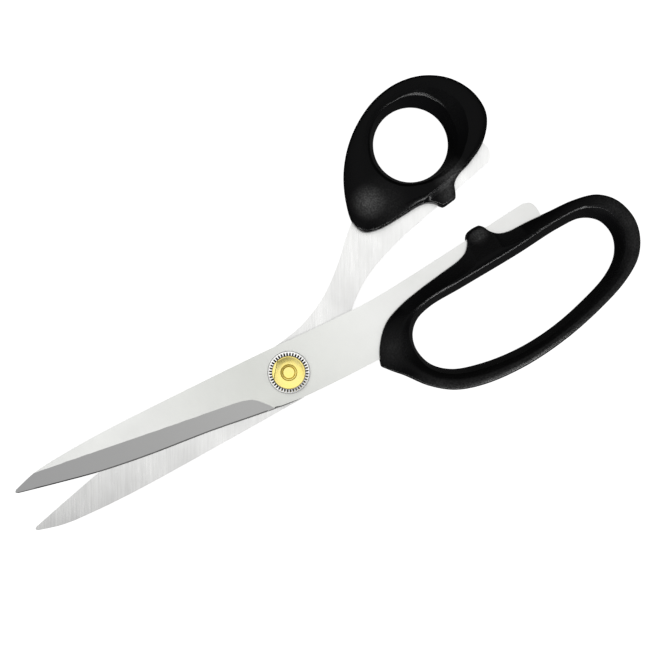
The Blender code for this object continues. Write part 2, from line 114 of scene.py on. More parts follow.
def make_floor():
    """A plain floor just under the object, lit up enough to be as white as the photograph's ground."""
    mesh = bpy.data.meshes.new("floor")
    low, high = -FLOOR_REACH, FLOOR_REACH
    corners = [(low, low, 0), (high, low, 0), (high, high, 0), (low, high, 0)]
    mesh.from_pydata(corners, [], [(0, 1, 2, 3)])
    floor = bpy.data.objects.new("floor", mesh)
    floor.location.z = -FLOOR_DROP
    floor.visible_glossy = False
    bpy.context.scene.collection.objects.link(floor)
    paint, shader = principled("floor_white", FLOOR_GREY, 0.8, 0.0)
    shader.inputs["Emission Color"].default_value = (1, 1, 1, 1)
    shader.inputs["Emission Strength"].default_value = FLOOR_GLOW
    shader.inputs["Specular IOR Level"].default_value = 0.0
    mesh.materials.append(paint)


def make_world():
    """Brightest above the horizon and on the finger bow's side, dim overhead and dark below."""
    world = bpy.data.worlds.new("studio")
    bpy.context.scene.world = world
    world.use_nodes = True
    graph = Graph(world)
    split = graph.node("ShaderNodeSeparateXYZ")
    graph.link(graph.node("ShaderNodeTexCoord").outputs["Generated"], split.inputs["Vector"])
    level = graph.spread(split.outputs["Z"], *HORIZON)
    height = graph.math("MULTIPLY", level, graph.spread(split.outputs["Z"], *OVERHEAD))
    side = graph.spread(split.outputs["Y"], *SIDEWAYS)
    background = world.node_tree.nodes["Background"]
    background.inputs["Color"].default_value = (1, 1, 1, 1)
    graph.link(graph.math("MULTIPLY", height, side), background.inputs["Strength"])


# ---------------------------------------------------------------- materials

# Where a blade's look changes, in metres from the pivot's axis: towards the tips, except that
# LOWER_SPINE is across the blade.
DULL_CENTRE, DULL_REACH = 0.010, 0.042
UPPER_TANG = (-0.046, -0.030)
GROUND_FADE = (0.02, 0.09)
LOWER_TANG = (-0.052, -0.038)
LOWER_TIP = (0.03, 0.09)
LOWER_SPINE = (0.002, 0.011)

# The Z of a normal, over which the honed facet's look gives way to the ground face's, and that to
# the flat's.
# Toning faces by their slope in this way paints light and shade on them.
HONED_TO_GROUND = (0.8, 0.86)
GROUND_TO_FLAT = (0.96, 0.99)

# How far the lower blade's belt marks are turned from lying along it.
BRUSHING = math.radians(62)

# Where a moulding's grain is greyed as painted highlights, in mm: the centre, how far round, and how
# strongly.
THUMB_HIGHLIGHTS = [
    ((-46.0, -35.0), 6.0, 1.0), ((-50.0, -33.0), 9.0, 0.4), ((-72.5, -30.8), 6.5, 1.0),
    ((-69.0, -25.2), 4.0, 0.9),
]
FINGER_HIGHLIGHTS = [
    ((-71.6, -10.3), 4.0, 1.0), ((-31.0, 8.0), 8.0, 0.35), ((-36.0, 25.5), 8.0, 0.35),
    ((-43.0, 30.0), 8.0, 0.4), ((-51.0, 33.0), 8.0, 0.4), ((-59.0, 34.0), 8.0, 0.4),
    ((-67.0, 34.0), 8.0, 0.4), ((-75.0, 33.5), 8.0, 0.4), ((-83.0, 32.0), 8.0, 0.4),
    ((-91.0, 30.0), 8.0, 0.4), ((-99.0, 27.5), 8.0, 0.4), ((-106.5, 24.0), 8.0, 0.4),
    ((-113.0, 19.0), 8.0, 0.4), ((-116.5, 12.0), 8.0, 0.45), ((-117.0, 4.0), 8.0, 0.45),
    ((-112.5, -2.5), 8.0, 0.35),
]
WORN_EVERYWHERE = 0.03
WEAR_AND_HIGHLIGHT_POWER = 1.5

# Painted shade lies in the nut's recess, as a shadow, and in the dial's gaps, least of all towards one
# side. Its edges are given in metres from the axis or below the dial's top, and how it fades to that
# side as (first value, last value, start, end).
LEAST_SHADED_SIDE = (-0.293, 0.956, 0)
RECESS_INNER = (0.00206, 0.00212)
RECESS_OUTER = (0.00248, 0.00262)
RECESS_SHADOW = (0.9, 0.0, -0.0016, 0.0014)
GAP_DEPTHS = (0.00045, 0.00012)
GAP_OUTER = (0.0062, 0.0064)
GAP_SHADE = (1, 0.5, 0.0, 0.006)


def principled(name, colour, roughness, metallic):
    made = bpy.data.materials.new(name)
    made.use_nodes = True
    shader = made.node_tree.nodes["Principled BSDF"]
    shader.inputs["Base Color"].default_value = (*colour, 1)
    shader.inputs["Roughness"].default_value = roughness
    shader.inputs["Metallic"].default_value = metallic
    return made, shader


class Graph:
    """Short calls for the few kinds of node that the materials use."""

    def __init__(self, material):
        self.tree = material.node_tree

    def node(self, kind, **settings):
        made = self.tree.nodes.new(kind)
        for key, value in settings.items():
            setattr(made, key, value)
        return made

    def link(self, output, socket):
        self.tree.links.new(output, socket)

    def place(self, turn=0.0, scale=(1, 1, 1), origin=(0, 0, 0)):
        """Object coordinates about a point, turned about Z and then scaled."""
        at = self.node("ShaderNodeTexCoord").outputs["Object"]
        turned = self.node("ShaderNodeMapping", vector_type="POINT")
        c, s = math.cos(-turn), math.sin(-turn)
        x, y, z = origin
        turned.inputs["Location"].default_value = (-(c * x - s * y), -(s * x + c * y), -z)
        turned.inputs["Rotation"].default_value = (0, 0, -turn)
        self.link(at, turned.inputs["Vector"])
        scaled = self.node("ShaderNodeMapping", vector_type="POINT")
        scaled.inputs["Scale"].default_value = scale
        self.link(turned.outputs["Vector"], scaled.inputs["Vector"])
        return scaled.outputs["Vector"]

    def noise(self, vector, detail=2.0, roughness=0.5):
        made = self.node("ShaderNodeTexNoise")
        made.inputs["Scale"].default_value = 1.0
        made.inputs["Detail"].default_value = detail
        made.inputs["Roughness"].default_value = roughness
        self.link(vector, made.inputs["Vector"])
        return made.outputs["Fac"]

    def spread(self, value, low, high, start=0.3, end=0.7):
        """From low to high while the value goes from start to end, and level beyond them."""
        made = self.node("ShaderNodeMapRange")
        made.inputs["From Min"].default_value = start
        made.inputs["From Max"].default_value = end
        made.inputs["To Min"].default_value = low
        made.inputs["To Max"].default_value = high
        self.link(value, made.inputs["Value"])
        return made.outputs["Result"]

    def math(self, operation, a, b):
        made = self.node("ShaderNodeMath", operation=operation)
        for socket, value in zip(made.inputs, (a, b)):
            if isinstance(value, (int, float)):
                socket.default_value = value
            else:
                self.link(value, socket)
        return made.outputs["Value"]

    def colours(self, value, low, high):
        """A mix of two colours, each given as numbers or as another node's output."""
        made = self.node("ShaderNodeMix", data_type="RGBA")
        self.link(value, made.inputs["Factor"])
        for socket, colour in ((made.inputs[6], low), (made.inputs[7], high)):
            if isinstance(colour, tuple):
                socket.default_value = (*colour, 1)
            else:
                self.link(colour, socket)
        return made.outputs[2]

    def axis(self, name, source="Object"):
        """One coordinate of the point, or of its normal."""
        split = self.node("ShaderNodeSeparateXYZ")
        self.link(self.node("ShaderNodeTexCoord").outputs[source], split.inputs["Vector"])
        return split.outputs[name]

    def from_axis(self):
        """Distance from the pivot's axis."""
        made = self.node("ShaderNodeVectorMath", operation="LENGTH")
        self.link(self.place(0, (1, 1, 0)), made.inputs[0])
        return made.outputs["Value"]

    def towards(self, direction):
        """How far a point is from the object's origin along a direction."""
        made = self.node("ShaderNodeVectorMath", operation="DOT_PRODUCT")
        self.link(self.node("ShaderNodeTexCoord").outputs["Object"], made.inputs[0])
        made.inputs[1].default_value = direction
        return made.outputs["Value"]

    def bump(self, height, distance, shader):
        made = self.node("ShaderNodeBump")
        made.inputs["Strength"].default_value = 1.0
        made.inputs["Distance"].default_value = distance
        self.link(height, made.inputs["Height"])
        self.link(made.outputs["Normal"], shader.inputs["Normal"])


def satin_steel():
    """The upper blade: a fine satin, duller round the pivot, with its ground face and honed facet toned
    by their slope as painted light and shade.
    """
    dull, clear = (0.70, 0.71, 0.675), (0.86, 0.865, 0.845)
    tang_dull, tang_clear = (0.75, 0.755, 0.735), (0.87, 0.87, 0.855)
    ground_heel, ground_tip = (0.87, 0.87, 0.86), (0.70, 0.70, 0.70)
    honed = (0.25, 0.25, 0.25)
    made, shader = principled("satin_steel", (0.8, 0.8, 0.79), 0.3, 1.0)
    graph = Graph(made)
    hairs = graph.noise(graph.place(0, (9000, 260, 900)), 3.0, 0.6)
    clouds = graph.noise(graph.place(0, (60, 90, 60)), 3.0)
    along = graph.axis("X")
    slope = graph.axis("Z", "Normal")
    from_dull = graph.math("ABSOLUTE", graph.math("SUBTRACT", along, DULL_CENTRE), 0)
    cleared = graph.spread(from_dull, 0, 1, 0, DULL_REACH)
    flat = graph.colours(graph.math("ADD", cleared, graph.spread(clouds, -0.15, 0.15)), dull, clear)
    tang = graph.colours(graph.spread(clouds, 0, 1, 0.35, 0.65), tang_dull, tang_clear)
    flat = graph.colours(graph.spread(along, 1, 0, *UPPER_TANG), flat, tang)
    # Painted light and shade: the ground face lighter at the heel and darker towards the tip.
    ground = graph.colours(graph.spread(along, 0, 1, *GROUND_FADE), ground_heel, ground_tip)
    tone = graph.colours(graph.spread(slope, 0, 1, *GROUND_TO_FLAT), ground, flat)
    # Painted shade: the honed facet in a dark tone.
    tone = graph.colours(graph.spread(slope, 0, 1, *HONED_TO_GROUND), honed, tone)
    graph.link(tone, shader.inputs["Base Color"])
    rough = graph.math("ADD", graph.spread(hairs, 0.0, 0.05), graph.spread(clouds, 0.27, 0.33))
    graph.link(rough, shader.inputs["Roughness"])
    graph.bump(hairs, 0.000002, shader)
    return made


def brushed_steel():
    """The lower blade: slantwise belt marks, duller to the tip and brighter on the tang."""
    light_low, light_high = (0.80, 0.80, 0.79), (0.88, 0.88, 0.87)
    dark_low, dark_high = (0.46, 0.46, 0.46), (0.66, 0.66, 0.65)
    tang_low, tang_high = (0.93, 0.93, 0.92), (0.98, 0.98, 0.97)
    made, shader = principled("brushed_steel", (0.78, 0.78, 0.77), 0.3, 1.0)
    graph = Graph(made)
    across = math.radians(90) - BRUSHING
    hairs = graph.noise(graph.place(-across, (9000, 220, 900)), 3.0, 0.6)
    strokes = graph.noise(graph.place(-across, (1700, 50, 300)), 4.0, 0.65)
    clouds = graph.noise(graph.place(0, (80, 60, 60)), 2.0)
    along = graph.axis("X")
    spine = graph.spread(graph.axis("Y"), 0, 0.5, *LOWER_SPINE)
    tip = graph.spread(along, 0, 1, *LOWER_TIP)
    darkened = graph.math("MULTIPLY", tip, graph.math("ADD", spine, 0.5))
    marks = graph.spread(strokes, 0, 1)
    light = graph.colours(marks, light_low, light_high)
    dark = graph.colours(marks, dark_low, dark_high)
    tang = graph.colours(marks, tang_low, tang_high)
    tone = graph.colours(graph.spread(along, 1, 0, *LOWER_TANG), light, tang)
    graph.link(graph.colours(darkened, tone, dark), shader.inputs["Base Color"])
    rough = graph.math("ADD", graph.spread(hairs, 0.0, 0.10), graph.spread(clouds, 0.24, 0.32))
    graph.link(rough, shader.inputs["Roughness"])
    height = graph.math("ADD", hairs, graph.math("MULTIPLY", strokes, 2.0))
    graph.bump(height, 0.000004, shader)
    return made


def black_plastic(name, highlight_spots):
    """Moulded plastic with a fine spark-eroded grain, greyed a little all over and, as painted
    highlights, more round some places.
    """
    black, grey = (0.0006, 0.0006, 0.0007), (0.032, 0.032, 0.032)
    made, shader = principled(name, black, 0.42, 0.0)
    graph = Graph(made)
    grain = graph.noise(graph.place(0, (2000, 2000, 2000)), 2.0, 0.6)
    broad = graph.noise(graph.place(0, (130, 130, 130)), 2.0)
    rough = graph.math("ADD", graph.spread(grain, -0.03, 0.06), graph.spread(broad, 0.20, 0.27))
    graph.link(rough, shader.inputs["Roughness"])
    shader.inputs["Specular IOR Level"].default_value = 0.055
    graph.bump(grain, 0.00004, shader)
    # Painted highlights: grey specks in the grain round each listed spot, over a light greying
    # everywhere.
    wear_and_highlights = WORN_EVERYWHERE
    for (x, y), radius, strength in highlight_spots:
        away = graph.node("ShaderNodeVectorMath", operation="LENGTH")
        on_top = (x * MM, y * MM, HANDLE_HEIGHT * MM)
        graph.link(graph.place(0, (1, 1, 1), on_top), away.inputs[0])
        spot = graph.spread(away.outputs["Value"], strength, 0, 0, radius * MM)
        wear_and_highlights = graph.math("ADD", wear_and_highlights, spot)
    speckle = graph.spread(grain, 0.45, 1.15, 0.4, 0.62)
    specks = graph.math("MULTIPLY", graph.math("POWER", wear_and_highlights, WEAR_AND_HIGHLIGHT_POWER), speckle)
    graph.link(graph.colours(specks, black, grey), shader.inputs["Base Color"])
    return made


def gold_plate():
    """The nut's plating, softly smeared, with a painted shadow round its recess, darkest on one side.
    """
    warm, pale, shadow_tone = (0.97, 0.80, 0.24), (1.0, 0.86, 0.32), (0.42, 0.33, 0.07)
    made, shader = principled("gold_plate", (1.0, 0.84, 0.28), 0.16, 1.0)
    graph = Graph(made)
    smears = graph.noise(graph.place(0, (500, 500, 500)), 2.0)
    graph.link(graph.spread(smears, 0.2, 0.3), shader.inputs["Roughness"])
    tone = graph.colours(graph.spread(smears, 0, 1), warm, pale)
    radius = graph.from_axis()
    inner = graph.spread(radius, 0, 1, *RECESS_INNER)
    outer = graph.spread(radius, 1, 0, *RECESS_OUTER)
    # Painted shadow: the ring of the recess darkened towards one side and not at all on the other.
    shade_fade = graph.spread(graph.towards(LEAST_SHADED_SIDE), *RECESS_SHADOW)
    shadowed = graph.math("MULTIPLY", graph.math("MULTIPLY", inner, outer), shade_fade)
    graph.link(graph.colours(shadowed, tone, shadow_tone), shader.inputs["Base Color"])
    graph.bump(smears, 0.000003, shader)
    return made


def nickel():
    """The dial's bright plating, dark with painted shade in the gaps between its teeth, less towards
    one side.
    """
    bright, gap_shade_tone = (0.95, 0.95, 0.94), (0.09, 0.085, 0.09)
    made, shader = principled("bright_nickel", bright, 0.22, 1.0)
    graph = Graph(made)
    smears = graph.noise(graph.place(0, (1500, 1500, 1500)), 3.0)
    graph.link(graph.spread(smears, 0.15, 0.3), shader.inputs["Roughness"])
    graph.bump(smears, 0.000004, shader)
    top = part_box("tension_dial")[1].z
    # Painted shade: the gaps between the teeth darkened, half as much towards one side.
    low = graph.spread(graph.axis("Z"), 1, 0, *[top - depth for depth in GAP_DEPTHS])
    within = graph.spread(graph.from_axis(), 1, 0, *GAP_OUTER)
    shade_fade = graph.spread(graph.towards(LEAST_SHADED_SIDE), *GAP_SHADE)
    gaps = graph.math("MULTIPLY", graph.math("MULTIPLY", low, within), shade_fade)
    graph.link(graph.colours(gaps, bright, gap_shade_tone), shader.inputs["Base Color"])
    return made


def nylon():
    """The glide washer's milky plastic."""
    made, shader = principled("nylon", (0.8, 0.79, 0.75), 0.5, 0.0)
    graph = Graph(made)
    haze = graph.noise(graph.place(0, (900, 900, 900)), 2.0)
    graph.link(graph.spread(haze, 0.42, 0.6), shader.inputs["Roughness"])
    graph.link(graph.colours(haze, (0.76, 0.75, 0.70), (0.84, 0.83, 0.79)), shader.inputs["Base Color"])
    return made


# ---------------------------------------------------------------- shapes

# Points to a stretch of a curve and to a rounded corner, how far in mm each way values are softened
# along a loop, and the cross product below which two lines count as parallel.
CURVE_STEPS = 8
CORNER_STEPS = 6
SOFTENED_OVER = 4.0
PARALLEL = 1e-12


def mesh_object(name, points, faces, paint):
    """A smooth closed piece from points in mm, with its faces turned outwards."""
    mesh = bpy.data.meshes.new(name)
    mesh.from_pydata([Vector(p) * MM for p in points], [], faces)
    shape = bmesh.new()
    shape.from_mesh(mesh)
    bmesh.ops.recalc_face_normals(shape, faces=shape.faces)
    shape.to_mesh(mesh)
    shape.free()
    mesh.shade_smooth()
    mesh.materials.append(paint)
    made = bpy.data.objects.new(name, mesh)
    bpy.context.scene.collection.objects.link(made)
    return made


def smooth(points, steps=CURVE_STEPS):
    """A curve through the points: a Catmull-Rom spline whose knots follow the points' spacing."""
    if len(points) < 3:
        return list(points)
    p = [Vector(q) for q in points]
    p = [2 * p[0] - p[1]] + p + [2 * p[-1] - p[-2]]
    made = []
    for a, b, c, d in zip(p, p[1:], p[2:], p[3:]):
        ka, kb, kc = [math.sqrt((v - u).length) for u, v in ((a, b), (b, c), (c, d))]
        start = kb * ((b - a) / ka - (c - a) / (ka + kb) + (c - b) / kb)
        end = kb * ((c - b) / kb - (d - b) / (kb + kc) + (d - c) / kc)
        for i in range(steps):
            t = i / steps
            made.append(
                (2 * t**3 - 3 * t**2 + 1) * b
                + (t**3 - 2 * t**2 + t) * start
                + (3 * t**2 - 2 * t**3) * c
                + (t**3 - t**2) * end
            )
    return [tuple(q) for q in made] + [tuple(points[-1])]


def round_loop(points, steps=CURVE_STEPS):
    """A closed loop that is smooth all the way round."""
    n = len(points)
    wrapped = smooth([points[-1], *points, points[0], points[1]], steps)
    return wrapped[steps : steps * (n + 1)]


def chain(*stretches):
    """A closed loop from smooth stretches, with a corner where one ends and the next starts."""
    loop = []
    for stretch in stretches:
        loop += smooth(stretch)[:-1]
    return loop


def even(loop, spacing, rounding=0.0):
    """The closed loop with points at even spacing, and its corners rounded by averaging."""
    loop = np.array(loop)
    steps = np.linalg.norm(np.roll(loop, -1, 0) - loop, axis=1)
    along = np.concatenate([[0], np.cumsum(steps)])
    closed = np.concatenate([loop, loop[:1]])
    count = int(round(along[-1] / spacing))
    at = np.arange(count) * along[-1] / count
    made = np.stack([np.interp(at, along, closed[:, k]) for k in (0, 1)], 1)
    reach = int(math.ceil(2 * rounding / spacing))
    if reach:
        weights = np.exp(-0.5 * (np.arange(-reach, reach + 1) * spacing / rounding) ** 2)
        weights /= weights.sum()
        made = sum(w * np.roll(made, k, 0) for w, k in zip(weights, range(-reach, reach + 1)))
    return made


def nearest_on(loop, points):
    """The point of the closed loop that is nearest to each of the given points."""
    a, b = loop, np.roll(loop, -1, 0)
    ab = b - a
    ap = points[:, None, :] - a[None]
    t = np.clip((ap * ab).sum(2) / (ab * ab).sum(1), 0, 1)
    q = a[None] + t[..., None] * ab[None]
    best = np.argmin(((points[:, None] - q) ** 2).sum(2), axis=1)
    return q[np.arange(len(points)), best]


def distance_to(loop, start, direction):
    """How far the closed loop is from each start along its direction, by its furthest crossing."""
    a, b = loop, np.roll(loop, -1, 0)
    ab = b - a
    sx = a[None] - start[:, None]
    cross = direction[:, None, 0] * ab[None, :, 1] - direction[:, None, 1] * ab[None, :, 0]
    cross = np.where(np.abs(cross) < PARALLEL, PARALLEL, cross)
    far = (sx[..., 0] * ab[None, :, 1] - sx[..., 1] * ab[None, :, 0]) / cross
    share = (sx[..., 0] * direction[:, None, 1] - sx[..., 1] * direction[:, None, 0]) / cross
    hit = (share >= 0) & (share <= 1) & (far > 0)
    return np.where(hit, far, 0).max(1)


def filleted(corners, radii):
    """The closed polygon with each corner rounded to its radius, as far as its sides leave room."""
    corners = [Vector(c) for c in corners]
    n = len(corners)
    made = []
    for i, (corner, radius) in enumerate(zip(corners, radii)):
        back, on = corners[i - 1] - corner, corners[(i + 1) % n] - corner
        room = 0.48 * min(back.length, on.length)
        back.normalize()
        on.normalize()
        half = max(1e-3, back.angle(on) / 2)
        reach = min(room, radius / math.tan(half)) if radius > 0 else 0.0
        start, end = corner + back * reach, corner + on * reach
        for k in range(CORNER_STEPS):
            t = k / (CORNER_STEPS - 1)
            weight = 1 / math.sin(half)
            a, b, c = (1 - t) ** 2, 2 * t * (1 - t) / weight, t**2
            made.append((start * a + corner * b + end * c) / (a + b + c))
    return made


def by_place(loop, keys):
    """Values along the loop, from keys of (point, values): straight between them, then softened."""
    steps = np.linalg.norm(np.roll(loop, -1, 0) - loop, axis=1)
    total = steps.sum()
    along = np.concatenate([[0], np.cumsum(steps)[:-1]])
    spots = [np.argmin(((loop - np.array(point)) ** 2).sum(1)) for point, _ in keys]
    order = np.argsort(spots)
    at = along[[spots[i] for i in order]]
    columns = np.array([keys[i][1] for i in order], float).T
    made = np.stack([np.interp(along, at, column, period=total) for column in columns], 1)
    reach = max(1, int(SOFTENED_OVER / (total / len(loop))))
    weights = np.hanning(2 * reach + 1)
    weights /= weights.sum()
    return sum(w * np.roll(made, k, 0) for w, k in zip(weights, range(-reach, reach + 1)))


def loft(name, sections, paint):
    """A ring of closed sections with the same number of points, joined all the way round."""
    n, m = len(sections), len(sections[0])
    points = [p for section in sections for p in section]
    faces = []
    for i in range(n):
        j = (i + 1) % n
        for k in range(m):
            after = (k + 1) % m
            faces.append((i * m + k, i * m + after, j * m + after, j * m + k))
    return mesh_object(name, points, faces, paint)


# ---------------------------------------------------------------- handles

# All in mm. An outline takes in the stop tab, and a bow is the loop without it. Heights in a section
# are from the middle of the moulding, and a hole is narrowest a little below that.
OUTLINE_SPACING, HOLE_SPACING, BOW_SPACING = 0.45, 0.2, 0.5
HOLE_STEPS = 10
OUTLINE_ROUNDING = 0.35
KEPT_INSIDE = 0.02
MIDDLE = HANDLE_HEIGHT / 2
NARROWEST = -2.6

# How far a side may stand outside the loop of its bow before it counts as the stop tab's, how far the
# tab's two faces are inside the bow's, and how far out the tab has its full shape.
FINGER_SIDE_OUT, THUMB_SIDE_OUT = 2.2, 0.3
TAB_LOWERED = 1.4
TAB_STANDS = 1.5

# The radii that a section's broad corners are rounded to, and how far the scoop's lip is below the top.
NARROWEST_RADIUS = 1.2
UNDER_EDGE_RADIUS, UNDER_RADIUS = 2.3, 20.0
FINGER_RIDGE_RADIUS, THUMB_RIDGE_RADIUS = 10.0, 14.0
LIP_DROP = 0.3

# How much a band falls for each mm of its width. At this slope it mirrors the strip light upwards.
BAND_SLOPE = 0.62

FINGER_BOW = [
    (-30.2, 3.6), (-34, 0.2), (-40, -2.2), (-48, -3.9), (-58, -5.5), (-70, -6.6), (-82, -6.8),
    (-94, -6.3), (-103, -5.8), (-109.6, -4.1), (-114.3, 0.3), (-116.5, 7.2), (-115.6, 13.4),
    (-112, 19.2), (-105, 23.9), (-93, 28.2), (-79, 31.4), (-65, 32.7), (-52, 31.8), (-43, 29.1),
    (-36.2, 24), (-31, 17.6), (-27.2, 13.9), (-25.8, 12), (-27, 8.4),
]
FINGER_HOLE = [
    (-38.3, 12.4), (-39.4, 7.8), (-42.6, 4.4), (-48, 2.6), (-60, 2.0), (-80, 1.0), (-95, -0.2),
    (-102.6, 0.3), (-107.3, 3.8), (-108.7, 9.5), (-106.5, 15), (-101, 19.4), (-90, 23.4),
    (-78, 26.1), (-66, 26.9), (-54, 25.6), (-45, 22.8), (-40, 18.3),
]
FINGER_OUTLINE = [
    [(-25.9, 11.8), (-27, 8.4), (-30.2, 3.6), (-34, 0.2), (-40, -2.2), (-48, -3.9), (-56, -5.1),
     (-62.4, -6.1), (-65.2, -7.2), (-66.9, -9), (-68, -11.4), (-68.9, -12.4)],
    [(-68.9, -12.4), (-71, -12.75), (-73.3, -12.7)],
    [(-73.3, -12.7), (-74.2, -11.6), (-75.1, -9.6), (-77, -7.8), (-80, -6.85), (-86, -6.7),
     (-94, -6.3), (-103, -5.8), (-109.6, -4.1), (-114.3, 0.3), (-116.5, 7.2), (-115.6, 13.4),
     (-112, 19.2), (-105, 23.9), (-93, 28.2), (-79, 31.4), (-65, 32.7), (-52, 31.8), (-43, 29.1),
     (-36.2, 24), (-31, 17.6), (-28.4, 14.8), (-25.9, 11.8)],
]

# Along the outline: where the top's ridge lies across the bow's width, how far the inner wall leans,
# the inner edge's radius and drop below the ridge, the outer wall's lean, radius and drop, and the
# width of the band that breaks the inner edge.
FINGER_KEYS = [
    ((-25.9, 11.8), (0.50, 1.0, 2.0, 0.9, 0.3, 1.4, 0.5, 0.1)),
    ((-31.0, 2.8), (0.42, 1.5, 1.2, 0.5, 0.3, 2.2, 0.9, 0.1)),
    ((-41.0, -2.4), (0.40, 1.9, 0.3, 0.25, 0.3, 2.8, 1.5, 0.35)),
    ((-58.0, -5.4), (0.38, 2.0, 0.2, 0.2, 0.3, 2.8, 1.7, 0.4)),
    ((-82.0, -6.8), (0.40, 2.1, 0.2, 0.2, 0.3, 2.6, 1.5, 0.4)),
    ((-103.0, -5.8), (0.50, 2.4, 0.3, 0.3, 0.3, 1.6, 0.6, 0.3)),
    ((-112.5, -1.8), (0.62, 3.2, 0.6, 0.5, 0.3, 1.0, 0.3, 0.1)),
    ((-116.4, 8.0), (0.70, 3.0, 1.0, 0.7, 0.3, 0.8, 0.25, 0.1)),
    ((-110.0, 21.0), (0.70, 1.9, 1.8, 1.1, 0.3, 1.2, 0.4, 0.1)),
    ((-79.0, 31.4), (0.62, 1.5, 1.8, 1.2, 0.4, 2.2, 1.0, 0.1)),
    ((-52.0, 31.8), (0.62, 1.5, 1.8, 1.2, 0.4, 2.2, 1.0, 0.1)),
    ((-36.2, 24.0), (0.56, 1.4, 2.0, 1.1, 0.3, 1.8, 0.7, 0.1)),
]

THUMB_HOLE_CENTRE = (-66.5, -44.7)
THUMB_HOLE_RADIUS = 11.6
THUMB_BOW = [
    (-39, -31.6), (-40.2, -38.2), (-43.6, -46.2), (-48.7, -53), (-55.2, -58.4), (-63, -62.1),
    (-71.5, -63.3), (-79.8, -61.5), (-86.8, -56.6), (-91, -49.3), (-91.3, -41.6), (-86.6, -34.8),
    (-79, -30.6), (-71, -28.2), (-62.5, -26.6), (-54, -26.1), (-45, -25.9), (-40.6, -27.4),
]
THUMB_OUTLINE = [
    [(-66.2, -22.5), (-65.1, -23.8), (-64, -25), (-62.2, -26.1), (-59, -26.5), (-54, -26.1),
     (-45, -25.9), (-40.6, -27.4), (-39, -31.6), (-40.2, -38.2), (-43.6, -46.2), (-48.7, -53),
     (-55.2, -58.4), (-63, -62.1), (-71.5, -63.3), (-79.8, -61.5), (-86.8, -56.6), (-91, -49.3),
     (-91.3, -41.6), (-86.6, -34.8), (-79.5, -30.8), (-75, -29.2), (-72.6, -27.3), (-71.6, -24.8),
     (-70.9, -23.2)],
    [(-70.9, -23.2), (-68.5, -22.8), (-66.2, -22.5)],
]

# Round the thumb hole, by angle: how far from the hole's edge the lip of the scoop and the top of the
# wall lie, how deep the scoop is, the radii of those two edges, where the ridge is between lip and
# outline, the outer wall's lean, radius and drop, and the width of the band at the top of the wall.
THUMB_KEYS = [
    (-176, (7.5, 3.0, 1.7, 0.5, 0.6, 0.60, 0.3, 0.7, 0.15, 0.15)),
    (-164, (7.7, 3.5, 1.4, 0.4, 0.4, 0.60, 0.3, 0.7, 0.15, 0.2)),
    (-152, (7.3, 3.8, 0.9, 0.4, 0.5, 0.60, 0.3, 0.7, 0.15, 0.6)),
    (-146, (6.9, 3.7, 0.8, 0.4, 0.6, 0.60, 0.3, 0.7, 0.15, 0.8)),
    (-136, (6.3, 3.9, 0.6, 0.5, 0.8, 0.60, 0.3, 0.7, 0.15, 0.9)),
    (-124, (5.0, 3.6, 0.4, 0.5, 0.7, 0.60, 0.3, 0.7, 0.15, 0.9)),
    (-114, (4.2, 3.2, 0.2, 0.5, 0.6, 0.60, 0.3, 0.7, 0.15, 0.6)),
    (-96, (2.9, 2.3, 0.15, 0.5, 0.5, 0.55, 0.3, 0.7, 0.2, 0.35)),
    (-75, (2.3, 2.0, 0.15, 0.3, 0.5, 0.52, 0.3, 0.8, 0.25, 0.3)),
    (-50, (1.9, 1.6, 0.15, 0.3, 0.5, 0.50, 0.3, 1.0, 0.35, 0.3)),
    (-24, (1.7, 1.4, 0.2, 0.3, 0.5, 0.48, 0.3, 1.4, 0.5, 0.3)),
    (0, (2.3, 1.6, 0.5, 0.4, 0.4, 0.50, 0.3, 1.9, 0.8, 0.2)),
    (24, (2.2, 1.5, 0.6, 0.6, 0.4, 0.55, 0.5, 1.6, 0.9, 0.15)),
    (46, (2.0, 1.3, 0.6, 0.6, 0.4, 0.60, 1.0, 0.7, 0.9, 0.15)),
    (70, (1.5, 1.0, 0.6, 0.5, 0.4, 0.62, 1.0, 0.7, 0.8, 0.15)),
    (96, (1.8, 1.1, 0.8, 0.5, 0.4, 0.62, 1.0, 0.7, 0.6, 0.15)),
    (125, (3.6, 1.9, 1.2, 0.7, 0.6, 0.60, 0.9, 0.5, 0.5, 0.15)),
    (148, (4.9, 2.7, 1.6, 0.7, 0.6, 0.55, 0.7, 0.6, 0.3, 0.15)),
    (165, (6.4, 2.9, 1.8, 0.6, 0.6, 0.55, 0.4, 0.7, 0.2, 0.15)),
]


def handle_section(inner, outward, corners):
    """One section of a bow: (distance from the hole, height) corners with radii, made round."""
    places, radii = zip(*corners)
    rounded = filleted(places, radii)
    return [(*(inner + outward * place[0]), MIDDLE + place[1]) for place in rounded]


def tab_share(width, body):
    """From 0 where the outline is the bow's own to 1 where it stands well off it, at the stop tab."""
    return min(1.0, (width - body) / TAB_STANDS)


def outer_side(width, body, lean, radius, drop):
    """The corners from the middle of the side up to the top's outer edge, by way of the stop tab."""
    share = tab_share(width, body)
    tab = MIDDLE - TAB_LOWERED
    fall = 1.5 * max(0.2, lean - 0.1) * (1 - share)
    return [
        ((width, 0.0), 0.2),
        ((width - 0.25 * share - 0.15, tab - fall), 0.9 * share + 0.1),
        ((body - lean * (1 - share) + 0.15 * share, tab), 0.7 * share),
        ((body - lean - 0.3 * share, MIDDLE - drop), radius),
    ]


def under_side(width, body):
    """The corners from the hole's wall, under the bow and the stop tab, to the foot of the side."""
    share = tab_share(width, body)
    tab = TAB_LOWERED - MIDDLE
    return [
        ((0.3, 0.5 - MIDDLE), UNDER_EDGE_RADIUS),
        ((body * 0.45, -MIDDLE), UNDER_RADIUS),
        ((body * 0.55, -MIDDLE), UNDER_RADIUS),
        ((body - 0.3, 0.7 - MIDDLE), UNDER_EDGE_RADIUS),
        ((body + 0.1 * share - 0.15, tab), 0.7 * share),
        ((width - 0.15, tab + 0.3 * (1 - share)), 0.5 * share + 0.1),
    ]


